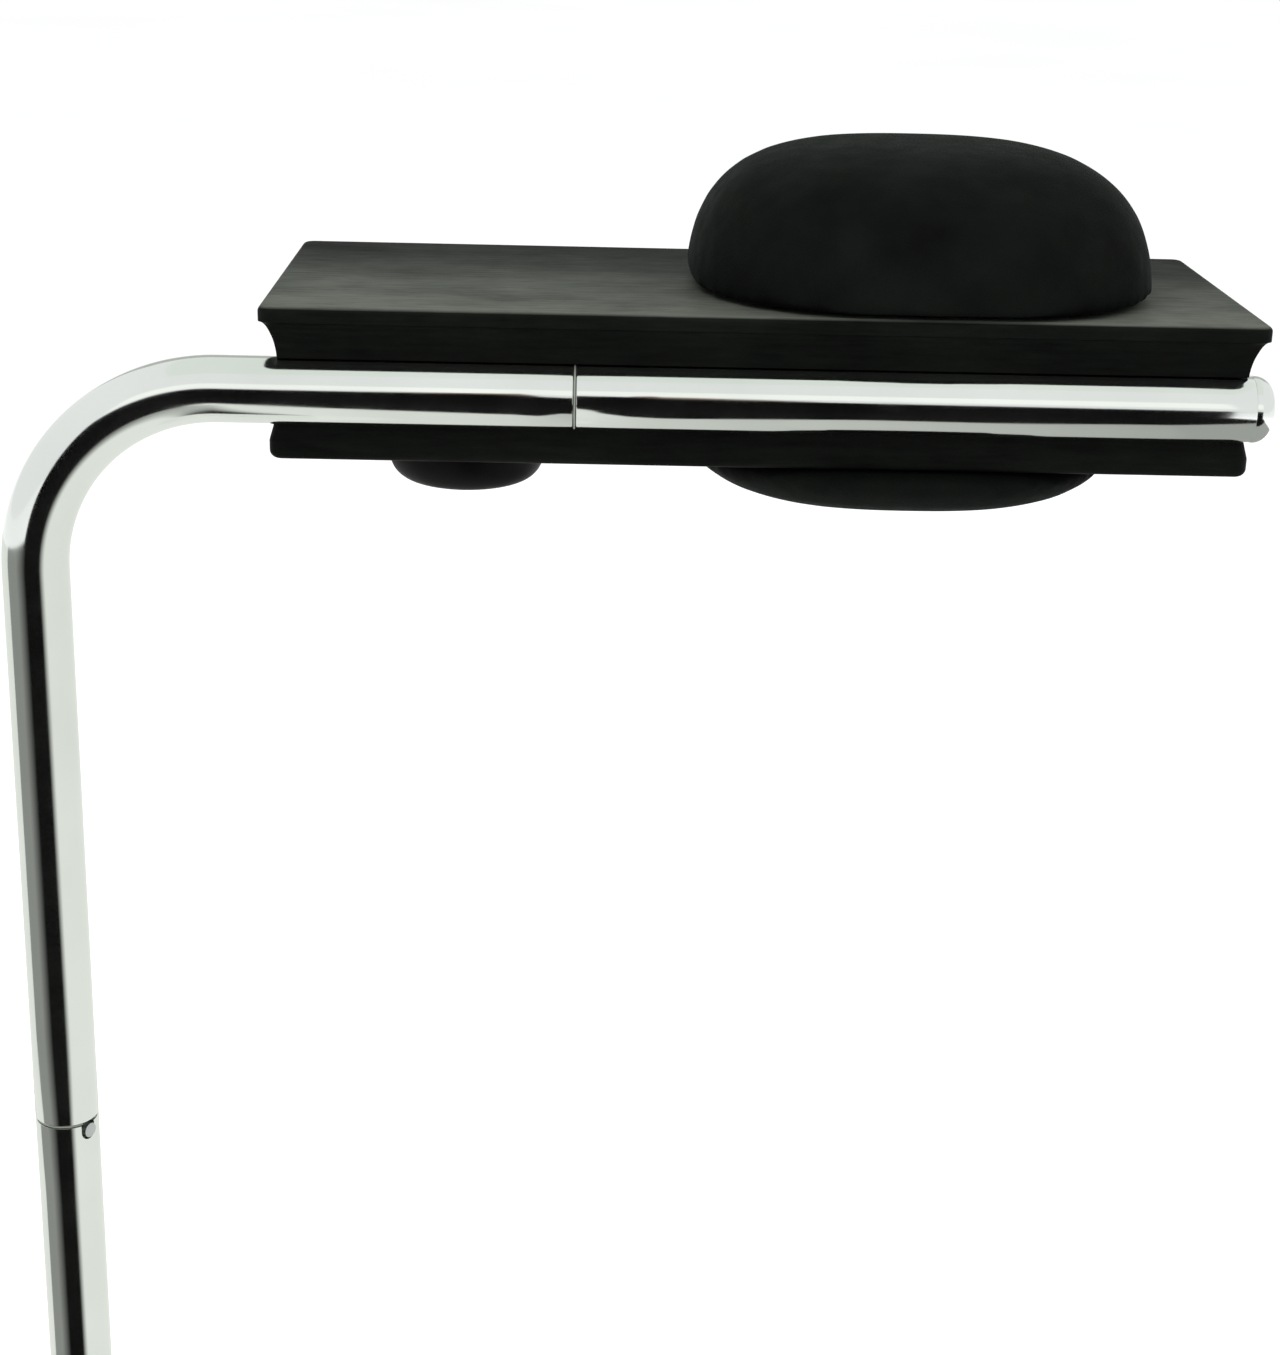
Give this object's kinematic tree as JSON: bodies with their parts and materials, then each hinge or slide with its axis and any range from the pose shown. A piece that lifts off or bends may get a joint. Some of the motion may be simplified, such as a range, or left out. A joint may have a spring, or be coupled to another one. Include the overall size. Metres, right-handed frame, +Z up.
{
  "type": "swivelling head pad on a tilting cranked arm",
  "caption": "Pebble-shaped two-sided head pad swivelling on a grooved board that tilts about a cranked chrome tube arm plugged into a post.",
  "frame": {"origin": "centre of the post's foot face", "axes": "+X along the level leg of the arm, +Y to the rear, away from the viewer, +Z up the post"},
  "size_m": [0.4717, 0.161, 0.6276],
  "materials": {
    "chrome": "polished",
    "bright_steel": "turned",
    "dark_steel": "blackened",
    "cast_alloy": "as cast",
    "brass": "turned",
    "nylon": "moulded",
    "black_plastic": "satin",
    "board_black": "satin with a fine grain along the length",
    "pad_skin": "matt"
  },
  "bodies": {
    "post": {"post_tube": "chrome", "post_foot_plug": "black_plastic", "post_glide_bush": "nylon"},
    "arm": {"elbow_tube": "chrome", "post_spigot": "bright_steel", "key_pin": "bright_steel", "tilt_spigot": "bright_steel", "tilt_stop_pin": "dark_steel", "tilt_retaining_washer": "bright_steel", "tilt_retaining_bolt": "dark_steel"},
    "board": {"board_upper_shell": "board_black", "board_lower_shell": "board_black", "core_plate": "bright_steel", "rail_tube": "chrome", "rail_end_cap": "chrome", "tilt_bush_seam": "nylon", "tilt_bush_inner": "nylon", "rail_bracket_left": "dark_steel", "rail_bracket_right": "dark_steel", "rail_screw_left": "dark_steel", "rail_screw_right": "dark_steel", "bracket_screw_left_1": "dark_steel", "bracket_screw_left_2": "dark_steel", "bracket_screw_right_1": "dark_steel", "bracket_screw_right_2": "dark_steel", "shell_screw_1": "dark_steel", "shell_screw_2": "dark_steel", "shell_screw_3": "dark_steel", "shell_screw_4": "dark_steel", "shell_screw_5": "dark_steel", "shell_screw_6": "dark_steel", "spindle_bush_upper": "nylon", "spindle_bush_lower": "nylon", "clamp_saddle": "cast_alloy", "clamp_guide_pin_1": "bright_steel", "clamp_guide_pin_2": "bright_steel"},
    "clamp_jaw": {"clamp_jaw": "dark_steel", "jaw_liner": "nylon"},
    "knob": {"clamp_knob": "black_plastic", "knob_insert": "brass", "knob_stud": "bright_steel", "knob_washer": "nylon"},
    "pad": {"upper_pad_cushion": "pad_skin", "upper_pad_base": "black_plastic", "lower_pad_cushion": "pad_skin", "lower_pad_base": "black_plastic", "swivel_washer_upper": "nylon", "swivel_washer_lower": "nylon", "base_screw_upper_1": "dark_steel", "base_screw_upper_2": "dark_steel", "base_screw_lower_1": "dark_steel", "base_screw_lower_2": "dark_steel", "pad_spindle": "bright_steel", "spindle_lower_flange": "bright_steel", "spindle_nut": "bright_steel"}
  },
  "joints": [
    {"name": "arm_lift", "type": "slide", "parent": "post", "child": "arm", "axis": [0, 0, 1], "range_m": [0, 0.1]},
    {"name": "board_tilt", "type": "hinge", "parent": "arm", "child": "board", "pos_m": [0.3, 0, 0.54], "axis": [1, 0, 0], "range_deg": [-20, 90]},
    {"name": "knob_turn", "type": "hinge", "parent": "board", "child": "knob", "pos_m": [0.1592, 0.045, 0.506], "axis": [0, 0, -1], "range_deg": [0, 540]},
    {"name": "jaw_slide", "type": "slide", "parent": "board", "child": "clamp_jaw", "axis": [0, 0, 1], "range_m": [0, 0.00187]},
    {"name": "pad_swivel", "type": "hinge", "parent": "board", "child": "pad", "pos_m": [0.3296, 0.067, 0.553], "axis": [0, 0, 1], "continuous": true}
  ],
  "couplings": [
    {"joint": "knob_turn", "follows": "jaw_slide", "rad_per_m": 5026.5}
  ]
}
